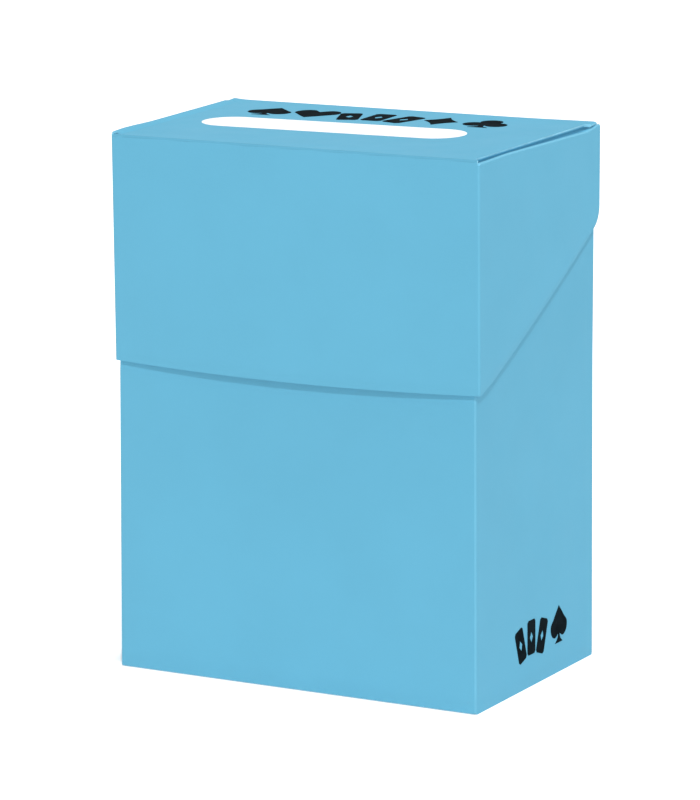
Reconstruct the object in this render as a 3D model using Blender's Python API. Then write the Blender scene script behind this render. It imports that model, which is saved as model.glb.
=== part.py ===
"""Card deck box: a creased polypropylene sheet folded into a box with a flip-top lid, and its divider.

Metres, +Z up. The front faces -Y and the lid turns about the crease along the top of the back.
The origin is the centre of the base's underside. Every panel between two creases is its own solid.
"""

import math

import bpy
from mathutils import Vector

# Driving dimensions
BODY_WIDTH = 0.0720
BODY_DEPTH = 0.0475
HEIGHT = 0.0986
SHEET = 0.0006
GAP = 0.0003

# The lid's front and sides stand outside the body by one sheet and one gap
LID_PROUD = SHEET + GAP
HALF_WIDTH = BODY_WIDTH / 2
HALF_LID_WIDTH = HALF_WIDTH + LID_PROUD
LID_FRONT_Y = -(BODY_DEPTH + LID_PROUD) / 2
FRONT_Y = LID_FRONT_Y + LID_PROUD
BACK_Y = FRONT_Y + BODY_DEPTH

# Body walls: the front wall is lower than the back one, so that the cards can be gripped
FRONT_TOP_Z = 0.0840
SIDE_TOP_BACK_Z = 0.0950
WALL_CORNER_RADIUS = 0.0030

# Bottom closure: the outer panel, the back panel's flap on it, and two dust flaps on that
LAYER_PITCH = SHEET + GAP
INNER_FLAP_REACH = 0.0380
DUST_FLAP_REACH = 0.0250
FLAP_TAPER = 0.0060
SEAM_FLAP_WIDTH = 0.0120
SEAM_FLAP_TOP_Z = 0.0890

# Lid: the front's lower edge is a shallow arc, and so is the side's, which rises to the back
LID_FRONT_END_Z = 0.0570
LID_FRONT_SAG = 0.0009
LID_SIDE_FRONT_Z = 0.0564
LID_SIDE_BACK_Z = 0.0809
LID_SIDE_SAG = 0.0011
LID_SIDE_BACK_RADIUS = 0.0060
LID_SIDE_FRONT_RADIUS = 0.0012
TAB_REACH = 0.0160
TAB_TAPER = 0.0050

# Hinge crease
HINGE_RADIUS = 0.00028
HINGE_Y = BACK_Y - SHEET / 2
HINGE_Z = HEIGHT - SHEET / 2

# White area for notes on the lid
LABEL_LENGTH = 0.0520
LABEL_WIDTH = 0.0120
LABEL_CENTRE_X = -0.0034
LABEL_CENTRE_Y = -0.0008
LABEL_TURN = math.radians(2.6)
LABEL_THICKNESS = 0.0001
LABEL_GAP = 0.0001

# Divider, at rest near the back panel
DIVIDER_WIDTH = 0.0660
DIVIDER_SHOULDER = 0.0900
DIVIDER_TAB_WIDTH = 0.0300
DIVIDER_TAB_HEIGHT = 0.0030
DIVIDER_BACK_CLEARANCE = 0.0006
DIVIDER_CORNER_RADIUS = 0.0030

ARC_STEPS = 6
FRONT_SAG_STEPS = 12
SIDE_SAG_STEPS = 5

# Euler rotations that stand a flat outline, drawn in XY, on each face of the box
LYING = (0.0, 0.0, 0.0)
FACING_FRONT = (math.radians(90), 0.0, 0.0)
FACING_SIDE = (math.radians(90), 0.0, math.radians(90))


def clear_scene():
    for obj in list(bpy.data.objects):
        bpy.data.objects.remove(obj, do_unlink=True)


def make_collection(name):
    collection = bpy.data.collections.new(name)
    bpy.context.scene.collection.children.link(collection)
    return collection


def make_material(name, colour, roughness):
    material = bpy.data.materials.new(name)
    material.use_nodes = True
    shader = material.node_tree.nodes["Principled BSDF"]
    shader.inputs["Base Color"].default_value = (*colour, 1.0)
    shader.inputs["Roughness"].default_value = roughness
    shader.inputs["Metallic"].default_value = 0.0
    return material


def arc_points(before, corner, after, radius):
    """Points of the arc that rounds a corner between its two neighbours."""
    towards_before = (before - corner).normalized()
    towards_after = (after - corner).normalized()
    half_angle = towards_before.angle(towards_after) / 2
    centre = corner + (towards_before + towards_after).normalized() * (radius / math.sin(half_angle))
    start = corner + towards_before * (radius / math.tan(half_angle)) - centre
    end = corner + towards_after * (radius / math.tan(half_angle)) - centre
    sweep = start.angle_signed(end)
    points = []
    for step in range(ARC_STEPS + 1):
        angle = -sweep * step / ARC_STEPS
        turned = Vector((start.x * math.cos(angle) - start.y * math.sin(angle),
                         start.x * math.sin(angle) + start.y * math.cos(angle)))
        points.append(centre + turned)
    return points


def rounded_outline(corners):
    """Closed outline from (x, y, radius) corners; a radius of 0 leaves the corner sharp."""
    outline = []
    for index, (x, y, radius) in enumerate(corners):
        corner = Vector((x, y))
        if radius == 0:
            outline.append(corner)
            continue
        before = Vector(corners[index - 1][:2])
        after = Vector(corners[(index + 1) % len(corners)][:2])
        outline.extend(arc_points(before, corner, after, radius))
    return outline


def rectangle(low_x, low_y, high_x, high_y):
    return rounded_outline([(low_x, low_y, 0), (high_x, low_y, 0), (high_x, high_y, 0), (low_x, high_y, 0)])


def stadium(length, width):
    """Outline with straight long sides and half-round ends, centred on the origin."""
    radius = width / 2
    straight = length / 2 - radius
    steps = 2 * ARC_STEPS
    points = []
    for side in (1, -1):
        for step in range(steps + 1):
            angle = math.pi * (step / steps - 0.5)
            points.append(Vector((side * (straight + radius * math.cos(angle)),
                                  side * radius * math.sin(angle))))
    return points


def flat_panel(name, outline, rotation, location, material, collection, thickness=SHEET, parent=None):
    """A flat sheet with the given outline, centred on its thickness at the location."""
    curve = bpy.data.curves.new(name, "CURVE")
    curve.dimensions = "2D"
    curve.fill_mode = "BOTH"
    curve.extrude = thickness / 2
    spline = curve.splines.new("POLY")
    spline.points.add(len(outline) - 1)
    for point, place in zip(spline.points, outline):
        point.co = (place.x, place.y, 0.0, 1.0)
    spline.use_cyclic_u = True
    curve.materials.append(material)
    panel = bpy.data.objects.new(name, curve)
    collection.objects.link(panel)
    panel.rotation_euler = rotation
    panel.location = Vector(location)
    if parent is not None:
        panel.parent = parent
        panel.location = Vector(location) - parent.location
    return panel


def side_name(side):
    return "right" if side > 0 else "left"


def build_walls(sheet, collection):
    """The body's four upright walls, which stand on the floor."""
    wall_mid = SHEET / 2
    front = rounded_outline([
        (-HALF_WIDTH, 0, 0),
        (HALF_WIDTH, 0, 0),
        (HALF_WIDTH, FRONT_TOP_Z, WALL_CORNER_RADIUS),
        (-HALF_WIDTH, FRONT_TOP_Z, WALL_CORNER_RADIUS),
    ])
    flat_panel("front_panel", front, FACING_FRONT, (0, FRONT_Y + wall_mid, 0), sheet, collection)

    back_top_z = HINGE_Z - HINGE_RADIUS - GAP
    back = rectangle(-HALF_WIDTH, 0, HALF_WIDTH, back_top_z)
    flat_panel("back_panel", back, FACING_FRONT, (0, BACK_Y - wall_mid, 0), sheet, collection)

    side_front_y = FRONT_Y + SHEET + GAP
    side_back_y = BACK_Y - SHEET - GAP
    side_outline = rounded_outline([
        (side_front_y, 0, 0),
        (side_back_y, 0, 0),
        (side_back_y, SIDE_TOP_BACK_Z, WALL_CORNER_RADIUS),
        (side_front_y, FRONT_TOP_Z, WALL_CORNER_RADIUS),
    ])
    for side in (-1, 1):
        location = (side * (HALF_WIDTH - wall_mid), 0, 0)
        name = side_name(side) + "_side_panel"
        flat_panel(name, side_outline, FACING_SIDE, location, sheet, collection)


def build_bottom(sheet, collection):
    """The three layers of the bottom closure, lowest first."""
    half_inside = HALF_WIDTH - SHEET - GAP
    front_inside = FRONT_Y + SHEET + GAP
    back_inside = BACK_Y - SHEET - GAP
    layer_mid = SHEET / 2
    panel = rectangle(-half_inside, front_inside, half_inside, back_inside)
    flat_panel("bottom_panel", panel, LYING, (0, 0, layer_mid), sheet, collection)

    flap = rounded_outline([
        (-half_inside, back_inside, 0),
        (-half_inside + FLAP_TAPER, back_inside - INNER_FLAP_REACH, WALL_CORNER_RADIUS),
        (half_inside - FLAP_TAPER, back_inside - INNER_FLAP_REACH, WALL_CORNER_RADIUS),
        (half_inside, back_inside, 0),
    ])
    flat_panel("bottom_inner_flap", flap, LYING, (0, 0, layer_mid + LAYER_PITCH), sheet, collection)

    for side in (-1, 1):
        root_x = side * half_inside
        free_x = side * (half_inside - DUST_FLAP_REACH)
        dust = rounded_outline([
            (root_x, front_inside, 0),
            (free_x, front_inside + FLAP_TAPER, WALL_CORNER_RADIUS),
            (free_x, back_inside - FLAP_TAPER, WALL_CORNER_RADIUS),
            (root_x, back_inside, 0),
        ])
        name = side_name(side) + "_dust_flap"
        flat_panel(name, dust, LYING, (0, 0, layer_mid + 2 * LAYER_PITCH), sheet, collection)


def build_seam_flap(sheet, collection):
    """The flap of the back panel that is welded inside the left side panel."""
    back_inside = BACK_Y - SHEET - GAP
    free_y = back_inside - SEAM_FLAP_WIDTH
    low_z = 3 * LAYER_PITCH
    outline = rounded_outline([
        (free_y, low_z + FLAP_TAPER, 0),
        (back_inside, low_z, 0),
        (back_inside, SEAM_FLAP_TOP_Z, 0),
        (free_y, SEAM_FLAP_TOP_Z - FLAP_TAPER, 0),
    ])
    location = (-(HALF_WIDTH - 1.5 * SHEET - GAP), 0, 0)
    flat_panel("side_seam_flap", outline, FACING_SIDE, location, sheet, collection)


def build_hinge_crease(sheet, collection):
    """The thin web of the living hinge, on the hinge's axis."""
    curve = bpy.data.curves.new("hinge_crease", "CURVE")
    curve.dimensions = "3D"
    curve.bevel_depth = HINGE_RADIUS
    curve.bevel_resolution = 2
    curve.use_fill_caps = True
    spline = curve.splines.new("POLY")
    spline.points.add(1)
    for point, side in zip(spline.points, (-1, 1)):
        point.co = (side * (HALF_WIDTH - GAP), 0.0, 0.0, 1.0)
    curve.materials.append(sheet)
    crease = bpy.data.objects.new("hinge_crease", curve)
    crease.location = (0.0, HINGE_Y, HINGE_Z)
    collection.objects.link(crease)


def lid_front_outline():
    """The lid's front, whose lower edge is a shallow arc."""
    top_z = HEIGHT - SHEET - GAP
    points = [Vector((HALF_LID_WIDTH, top_z)), Vector((-HALF_LID_WIDTH, top_z))]
    for step in range(FRONT_SAG_STEPS + 1):
        along = 2 * step / FRONT_SAG_STEPS - 1
        points.append(Vector((along * HALF_LID_WIDTH, LID_FRONT_END_Z - LID_FRONT_SAG * (1 - along ** 2))))
    return points


def lid_side_outline(front_y, back_y):
    """The lid's side, whose lower edge rises to the rounded back corner."""
    corners = [(back_y, HEIGHT, 0), (front_y, HEIGHT, 0)]
    for step in range(SIDE_SAG_STEPS + 1):
        along = step / SIDE_SAG_STEPS
        chord_z = LID_SIDE_FRONT_Z + (LID_SIDE_BACK_Z - LID_SIDE_FRONT_Z) * along
        z = chord_z - 4 * LID_SIDE_SAG * along * (1 - along)
        radius = {0: LID_SIDE_FRONT_RADIUS, SIDE_SAG_STEPS: LID_SIDE_BACK_RADIUS}.get(step, 0)
        corners.append((front_y + (back_y - front_y) * along, z, radius))
    return rounded_outline(corners)


def build_lid(sheet, collection, axis):
    """The lid's top, front and sides, and the tabs that hold the sides to the top."""
    sheet_mid = SHEET / 2
    top = rectangle(-HALF_WIDTH, LID_FRONT_Y, HALF_WIDTH, HINGE_Y - HINGE_RADIUS - GAP)
    flat_panel("lid_top_panel", top, LYING, (0, 0, HEIGHT - sheet_mid), sheet, collection, parent=axis)

    flat_panel("lid_front_panel", lid_front_outline(), FACING_FRONT, (0, LID_FRONT_Y + sheet_mid, 0),
               sheet, collection, parent=axis)

    side_front_y = LID_FRONT_Y + SHEET + GAP
    side_back_y = BACK_Y - GAP
    side_outline = lid_side_outline(side_front_y, side_back_y)
    tab_z = HEIGHT - sheet_mid - LAYER_PITCH
    tab_front_y = side_front_y + GAP
    tab_back_y = side_back_y - TAB_TAPER
    for side in (-1, 1):
        location = (side * (HALF_LID_WIDTH - sheet_mid), 0, 0)
        name = "lid_" + side_name(side) + "_side_panel"
        flat_panel(name, side_outline, FACING_SIDE, location, sheet, collection, parent=axis)

        root_x = side * HALF_WIDTH
        free_x = side * (HALF_WIDTH - TAB_REACH)
        tab = rounded_outline([
            (root_x, tab_front_y, 0),
            (free_x, tab_front_y + TAB_TAPER, WALL_CORNER_RADIUS),
            (free_x, tab_back_y - TAB_TAPER, WALL_CORNER_RADIUS),
            (root_x, tab_back_y, 0),
        ])
        name = "lid_" + side_name(side) + "_tab"
        flat_panel(name, tab, LYING, (0, 0, tab_z), sheet, collection, parent=axis)


def build_label(white, collection, axis):
    """The white area for notes, a thin film on the lid's top."""
    outline = stadium(LABEL_LENGTH, LABEL_WIDTH)
    location = (LABEL_CENTRE_X, LABEL_CENTRE_Y, HEIGHT + LABEL_GAP + LABEL_THICKNESS / 2)
    flat_panel("write_on_label", outline, (0.0, 0.0, LABEL_TURN), location, white, collection,
               LABEL_THICKNESS, axis)


def build_divider(frosted, collection):
    """The loose divider, which stands on the bottom flaps and slides from back to front."""
    half = DIVIDER_WIDTH / 2
    half_tab = DIVIDER_TAB_WIDTH / 2
    tab_top = DIVIDER_SHOULDER + DIVIDER_TAB_HEIGHT
    tab_radius = DIVIDER_TAB_HEIGHT / 3
    outline = rounded_outline([
        (-half, 0, DIVIDER_CORNER_RADIUS),
        (half, 0, DIVIDER_CORNER_RADIUS),
        (half, DIVIDER_SHOULDER, DIVIDER_CORNER_RADIUS),
        (half_tab, DIVIDER_SHOULDER, tab_radius),
        (half_tab, tab_top, tab_radius),
        (-half_tab, tab_top, tab_radius),
        (-half_tab, DIVIDER_SHOULDER, tab_radius),
        (-half, DIVIDER_SHOULDER, DIVIDER_CORNER_RADIUS),
    ])
    rest_y = BACK_Y - SHEET - DIVIDER_BACK_CLEARANCE - SHEET / 2
    location = (0, rest_y, 3 * LAYER_PITCH)
    flat_panel("deck_divider", outline, FACING_FRONT, location, frosted, collection)


def main():
    clear_scene()
    collection = make_collection("card_deck_box")
    sheet = make_material("blue_sheet", (0.156, 0.497, 0.701), 0.55)
    white = make_material("label_white", (0.90, 0.90, 0.90), 0.60)
    frosted = make_material("divider_white", (0.80, 0.82, 0.83), 0.45)

    build_walls(sheet, collection)
    build_bottom(sheet, collection)
    build_seam_flap(sheet, collection)
    build_hinge_crease(sheet, collection)

    lid_axis = bpy.data.objects.new("lid_hinge_axis", None)
    lid_axis.location = (0.0, HINGE_Y, HINGE_Z)
    collection.objects.link(lid_axis)
    build_lid(sheet, collection, lid_axis)
    build_label(white, collection, lid_axis)

    build_divider(frosted, collection)


main()
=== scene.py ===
import math

import bmesh
import bpy
from mathutils import Euler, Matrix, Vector


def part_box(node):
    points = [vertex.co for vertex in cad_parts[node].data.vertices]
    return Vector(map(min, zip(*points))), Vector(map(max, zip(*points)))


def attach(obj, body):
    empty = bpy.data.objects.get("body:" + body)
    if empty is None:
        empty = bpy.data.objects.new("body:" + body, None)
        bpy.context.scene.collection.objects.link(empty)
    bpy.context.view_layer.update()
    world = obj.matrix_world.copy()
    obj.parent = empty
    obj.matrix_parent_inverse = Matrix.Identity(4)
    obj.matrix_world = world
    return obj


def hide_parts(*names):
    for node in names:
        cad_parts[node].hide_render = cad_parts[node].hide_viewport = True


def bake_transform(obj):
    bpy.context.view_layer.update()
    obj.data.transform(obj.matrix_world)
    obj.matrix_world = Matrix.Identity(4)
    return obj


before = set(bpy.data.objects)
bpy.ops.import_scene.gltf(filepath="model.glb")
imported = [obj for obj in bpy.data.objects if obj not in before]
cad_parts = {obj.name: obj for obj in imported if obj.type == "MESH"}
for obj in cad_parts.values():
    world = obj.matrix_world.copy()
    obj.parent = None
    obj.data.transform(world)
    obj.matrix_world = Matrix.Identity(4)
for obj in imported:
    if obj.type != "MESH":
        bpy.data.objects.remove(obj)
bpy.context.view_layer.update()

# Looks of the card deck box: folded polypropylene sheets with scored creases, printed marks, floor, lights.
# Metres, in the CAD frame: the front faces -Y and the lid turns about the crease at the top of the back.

MM = 0.001


def centre_of(node):
    low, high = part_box(node)
    return (low + high) / 2


def exact(coordinate):
    """A CAD coordinate to the micrometre, without the noise of single precision."""
    return round(coordinate, 6)


front_low, front_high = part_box("front_panel")
back_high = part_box("back_panel")[1]
side_low, side_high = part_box("right_side_panel")
seam_low, seam_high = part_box("side_seam_flap")
lid_front_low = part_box("lid_front_panel")[0]
lid_side_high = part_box("lid_right_side_panel")[1]
lid_top_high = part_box("lid_top_panel")[1]
tab_low, tab_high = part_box("lid_right_tab")
LABEL_CENTRE = centre_of("write_on_label")
HINGE = centre_of("hinge_crease")

# Sheet: its thickness, its outer radius at a scored crease, and the share of the thickness that a score
# leaves. A crease value of 1 is a score, CREASE_EDGE is the line beside it, and 0 is the plain sheet. Higher
# values are thinner than a score, and values below 0 are thicker than the sheet.
SHEET = 0.55 * MM
CREASE_RADIUS = 0.38 * MM
CREASE_THINNING = 0.62
CREASE_EDGE = 0.85
MOST_CREASE = 2.0
LEAST_CREASE = -2.4
CREASE_REACH = 0.12 * MM
CREASE_STEPS = 5
RIM_ROUNDING = 0.07 * MM
RIM_ANGLE = math.radians(50)
RIM_SEGMENTS = 2
WELD_DISTANCE = 0.002 * MM

# How finely flat runs are divided: steps over a shaped end, distances near a fine end, and columns and rows
FINE_END_STEPS = 7
FINE_NEAR = [0.0, CREASE_REACH, 0.35 * MM, 0.7 * MM, 1.1 * MM, 1.6 * MM, 2.4 * MM]
BODY_SIDE_COLUMNS = 12
BODY_FRONT_COLUMNS = 14
SEAM_COLUMNS = 5
BODY_ROWS = 26
WALL_END_ROWS = 4
LID_SIDE_COLUMNS = 14
LID_FRONT_COLUMNS = 16
LID_ROWS = 20
TOP_PANEL_ROWS = 14
TOP_EAR_ROWS = 10

# Body: the walls flare at the foot and lean in a little towards the top, and the lid squeezes the left one.
# The back wall bulges up to a reach below the hinge. A tone is how far creases whiten the sheet, partly
# whitening of the folded plastic and partly a painted highlight.
BODY_HALF_X = front_high.x
BODY_FRONT_Y = front_low.y
BODY_BACK_Y = back_high.y
WALL_FRONT_TOP = front_high.z
WALL_BACK_TOP = side_high.z
WALL_CORNER = 3.0 * MM
FOOT_CORNER = 0.30 * MM
FOOT_BACK_CORNER = 0.45 * MM
FRONT_FOOT_LIFT = 0.15 * MM
LEAN_TOP_Z = lid_front_low.z
BODY_SHIFT_X = -0.06 * MM
FOOT_FLARE = 0.26 * MM
FOOT_FLARE_IN_DEPTH = 0.3
BACK_BULGE = 0.25 * MM
BACK_BULGE_REACH = 20.0 * MM
LEAN_X = 0.10 * MM
LEAN_Y = 0.05 * MM
SQUEEZE = 0.36 * MM
SQUEEZE_LENGTH = 5.0 * MM
SEAM_CLEARANCE = 0.1 * MM
SEAM_REACH = seam_high.y - seam_low.y
SEAM_TAPER = 6.0 * MM
BODY_CREASE_TONE = 0.94
WALL_END_REACH = 3 * CREASE_REACH

# Lid: its flat shape before lid_shape bends it, a little off the CAD nodes that it stands for and a little
# to the right; then how its front leans and bows out
LID_MID_X = 0.34 * MM
LID_HALF_X = exact(lid_side_high.x) - 0.25 * MM
LID_FRONT_Y = exact(lid_front_low.y) + 0.20 * MM
LID_BACK_Y = lid_side_high.y + 0.15 * MM
LID_TOP_Z = exact(lid_top_high.z) - 0.63 * MM
LID_FRONT_END_Z = exact(lid_front_low.z) + 0.90 * MM
LID_FRONT_SAG = 0.85 * MM
LID_FRONT_LEAN = 0.55 * MM
LID_FRONT_BOW = 0.65 * MM
LID_BEND_REACH = 6.0 * MM
# LID_CREASE_TONE whitens the lid's upright creases: whitening of the folded plastic and a painted highlight
LID_CREASE_TONE = 0.89

# The lid's side: its lower edge rises in a shallow arc to a round back corner
SIDE_EDGE_START_Z = exact(lid_front_low.z) + 0.25 * MM
SIDE_EDGE_SLOPE = 0.454
SIDE_EDGE_CURVE = 0.00132 / MM
SIDE_EDGE_FRONT_LIFT = 0.65 * MM
SIDE_EDGE_FRONT_REACH = 1.2 * MM
SIDE_BACK_RADIUS = 4.5 * MM

# Folds along the tops of the lid's sides. The left side flares to the back
FOLD_FRONT_Z = LID_TOP_Z - 0.47 * MM
FOLD_Z = LID_TOP_Z - 0.12 * MM
FOLD_RISE_LENGTH = 12.0 * MM
FOLD_RADIUS = 0.40 * MM
FOLD_CREASE = 0.5
# FOLD_TONE whitens the fold crests: whitening of the folded plastic and a painted highlight along each crest
FOLD_TONE = 2.0
FOLD_END_START = 0.4
FOLD_END_LENGTH = 3.5 * MM
FOLD_END_RISE = 0.66 * MM
LEFT_FOLD_LIFT = 0.42 * MM
LEFT_FOLD_FRONT_DROP = 0.38 * MM
LEFT_FOLD_FRONT_LENGTH = 2.0 * MM
LEFT_FOLD_END_DROP = 0.85 * MM
LEFT_EAR_LIFT = 0.16 * MM
LEFT_EAR_START = 0.93
LEFT_EAR_END = 0.99
LEFT_FOLD_FRONT_LIFT = 0.20 * MM
LEFT_FOLD_FRONT_LIFT_START = 0.3
LEFT_FOLD_FRONT_LIFT_LENGTH = 15.0 * MM
LEFT_FLARE = 1.95 * MM
LEFT_FLARE_FOOT = 12.0 * MM
LEFT_FLARE_START = 0.90
LEFT_FLARE_END = 0.99

# Tabs under the top panel: how they narrow, how the right one dips so that the slot beside it is open, and
# how bright the painted light in that slot is
TAB_REACH = tab_high.x - tab_low.x
TAB_DROP_SHARES = (0.17, 0.33, 0.5, 0.67, 0.83, 1.0)
TAB_SHARES = (0.4, 0.75, 0.93, 1.0)
TAB_ROUNDING = TAB_REACH * 0.15
TAB_START = 0.4 * MM
TAB_TAPER = 5.0 * MM
TAB_GAP = 0.08 * MM
TAB_DROP_REACH = 2.6 * MM
TAB_DIP = 0.45 * MM
TAB_DIP_REACH = 1.0 * MM
TAB_DIP_END = TAB_REACH * 0.4
TAB_PAINTED_GLOW = 0.45

# The top panel rises to the back; its cut edges stand in from the folds except near the two creases
# TOP_CREASE_TONE is below zero: painted shade darkens the crease between the lid's front and top
TOP_CREASE_TONE = -0.6
TOP_RISE = 0.78 * MM
TOP_TWIST = 0.06 * MM
TOP_EAR_LIFT = 0.13 * MM
TOP_EAR_LIFT_START = 0.6
TOP_RIDGE = 0.20 * MM
TOP_RIDGE_LENGTH = 6.0 * MM
TOP_CUT_FRONT_HALF_X = LID_HALF_X - 1.30 * MM
TOP_CUT_BACK_HALF_X = LID_HALF_X - 1.20 * MM
# TOP_CUT_CREASE thins the top panel along its right cut edge and whitens it there, a painted highlight along
# that edge
TOP_CUT_CREASE = 1.4
TOP_FRONT_HALF_X = LID_HALF_X - 0.55 * MM
TOP_EAR_HALF_X = LID_HALF_X - 0.15 * MM
TOP_EAR_CORNER = 0.35 * MM
TOP_EAR_CURL = 0.22 * MM
TOP_EAR_CURL_REACH = 0.5 * MM
TOP_FRONT_TAPER_START = 0.3 * MM
TOP_FRONT_TAPER = 1.5 * MM
TOP_FRONT_ROWS = (CREASE_REACH, 0.9 * MM, 1.6 * MM, 2.4 * MM, 3.4 * MM)
TOP_EAR_LENGTH = 4.1 * MM
TOP_EAR_STEP = 0.7 * MM
TOP_EAR_LEAD = 0.4 * MM
TOP_HINGE_DIP = 0.55 * MM

# Hinge: a thin web between the ends of the two sheets
WEB_SHEET = 0.26 * MM
WEB_REACH = 0.8 * MM
WEB_BEND = 0.22 * MM
WEB_BEND_STEPS = 6
WEB_COLUMNS = 24
WEB_CREASE = 0.8
WEB_ROUNDING = 0.03 * MM
SHEET_END = 0.42 * MM
END_LIFT = SHEET * CREASE_THINNING / 2

# Printing: films a little above the sheet, each next shape of a mark a step higher
FILM = 0.03 * MM
FILM_LIFT = 0.02 * MM
FILM_STEP = 0.004 * MM
FILM_WELD = 0.0005 * MM
LABEL_LENGTH = 51.7 * MM
LABEL_WIDTH = 11.2 * MM
LABEL_SHIFT_X = -0.6 * MM
LABEL_SHIFT_Y = -0.4 * MM
LABEL_TURN = math.radians(2.6)
LABEL_END_STEPS = 12
OUTLINE_STEPS = 10
TOP_MARK_CENTRE_X = LABEL_CENTRE.x + 1.1 * MM
TOP_MARK_CENTRE_Y = LABEL_CENTRE.y + 13.8 * MM
TOP_MARK_HEIGHT = 8.8 * MM
TOP_MARK_LENGTH = 52.0 * MM
TOP_MARK_PLACES = (-0.42, -0.25, 0.0, 0.24, 0.415)
SIDE_MARK_CENTRE_Y = (side_low.y + side_high.y) / 2 + 2.25 * MM
SIDE_MARK_CENTRE_Z = side_low.z + 9.0 * MM
SIDE_MARK_HEIGHT = 6.9 * MM
SIDE_MARK_CARDS_SHIFT = -4.0 * MM
SIDE_MARK_SPADE_SHIFT = 7.2 * MM

# Camera, at the viewing angle of a product shot from the front right
CAMERA_PLACE = Vector((0.359457, -0.668600, 0.200139))
CAMERA_VIEW = Vector((-0.465684, 0.863063, -0.195604))
CAMERA_ROLL = math.radians(-0.13)
CAMERA_LENS = 219.63

# Light: a sky that is white at the horizon, and soft suns, as (name, towards the sun, strength)
SKY_HORIZON_Z = 0.06
SKY_OVERHEAD_Z = 0.35
SKY_OVERHEAD = 0.53
SUN_SOFTNESS = math.radians(2.5)
SUNS = (
    ("key", (0.41, -0.62, 0.67), 1.47),
    ("front", (0.0, -0.98, 0.20), 0.19),
    ("overhead", (0.05, -0.05, 1.0), 1.52),
    ("right", (0.90, 0.10, 0.43), 0.32),
)

# Floor: half its width, how far it lies below the foot, and how it glows so that the background is white
FLOOR_HALF = 6.0
FLOOR_CELLS = 8
FLOOR_DROP = 0.02 * MM
FLOOR_GLOW = 0.3

# Colours of the sheet, where the whitened blue of the creases also holds a painted highlight, and the size of
# its grain, which the ink on it shares
BLUE = (0.107, 0.355, 0.505, 1.0)
WHITENED_AND_HIGHLIGHT_BLUE = (0.24, 0.52, 0.66, 1.0)
CUT_BLUE = (0.19, 0.49, 0.64, 1.0)
GRAIN_SIZE = 0.22 * MM


# ---------------------------------------------------------------- shared maths


def smooth(value, low, high):
    """0 at low, 1 at high, with a smooth step between."""
    share = min(1.0, max(0.0, (value - low) / (high - low)))
    return share * share * (3 - 2 * share)


def mix(a, b, share):
    return a + (b - a) * share


def run_stations(length, count, fine_end=0.0):
    """Distances along a flat run, close together at each crease and over fine_end at the far end."""
    plain_end = length - max(fine_end, CREASE_REACH)
    stations = [0.0, CREASE_REACH]
    for step in range(1, count):
        stations.append(mix(CREASE_REACH, plain_end, step / count))
    stations.append(plain_end)
    steps = FINE_END_STEPS if fine_end else 1
    for step in range(1, steps + 1):
        stations.append(plain_end + (length - plain_end) * math.sin(math.pi / 2 * step / steps))
    return stations


def fine_stations(length, count):
    """Distances along a flat run that are close together near both ends."""
    end = FINE_NEAR[-1]
    middle = [mix(end, length - end, step / count) for step in range(1, count)]
    return FINE_NEAR + middle + [length - distance for distance in FINE_NEAR[::-1]]


def arc_drop(distance, radius):
    """How far a round corner has cut down an edge, at this distance from its end."""
    if distance >= radius:
        return 0.0
    return radius - math.sqrt(max(0.0, radius ** 2 - (radius - distance) ** 2))


# ---------------------------------------------------------------- materials


class Nodes:
    """Short calls that build one material's nodes."""

    def __init__(self, name):
        self.material = bpy.data.materials.new(name)
        self.material.use_nodes = True
        self.tree = self.material.node_tree
        self.shader = self.tree.nodes["Principled BSDF"]
        self.place = self.add("ShaderNodeTexCoord").outputs["Object"]

    def add(self, kind, inputs=None, **settings):
        node = self.tree.nodes.new(kind)
        for key, value in settings.items():
            setattr(node, key, value)
        for key, value in (inputs or {}).items():
            self.put(node.inputs[key], value)
        return node

    def put(self, socket, value):
        if isinstance(value, bpy.types.NodeSocket):
            self.tree.links.new(value, socket)
        else:
            socket.default_value = value

    def noise(self, size, detail=2.0, roughness=0.5):
        """Noise whose features are about this large, in metres."""
        inputs = {"Vector": self.place, "Scale": 1 / size, "Detail": detail, "Roughness": roughness}
        return self.add("ShaderNodeTexNoise", inputs).outputs["Fac"]

    def cells(self, size, feature="F1"):
        inputs = {"Vector": self.place, "Scale": 1 / size}
        return self.add("ShaderNodeTexVoronoi", inputs, feature=feature).outputs["Distance"]

    def ramp(self, value, low, high, out_low=0.0, out_high=1.0):
        inputs = {"Value": value, "From Min": low, "From Max": high, "To Min": out_low, "To Max": out_high}
        return self.add("ShaderNodeMapRange", inputs).outputs["Result"]

    def maths(self, operation, a, b):
        return self.add("ShaderNodeMath", {0: a, 1: b}, operation=operation).outputs[0]

    def blend(self, share, a, b):
        """Colour a where the share is 0 and colour b where it is 1."""
        node = self.add("ShaderNodeMix", {0: share, 6: a, 7: b}, data_type="RGBA")
        return node.outputs[2]

    def attribute(self, name):
        return self.add("ShaderNodeAttribute", attribute_name=name).outputs["Fac"]

    def bump(self, height, distance, strength, below=None):
        inputs = {"Height": height, "Distance": distance, "Strength": strength}
        if below is not None:
            inputs["Normal"] = below
        return self.add("ShaderNodeBump", inputs).outputs["Normal"]


def colour(red, green, blue):
    return (red, green, blue, 1.0)


def scaled(base, share):
    return colour(*(channel * share for channel in base[:3]))


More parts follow.
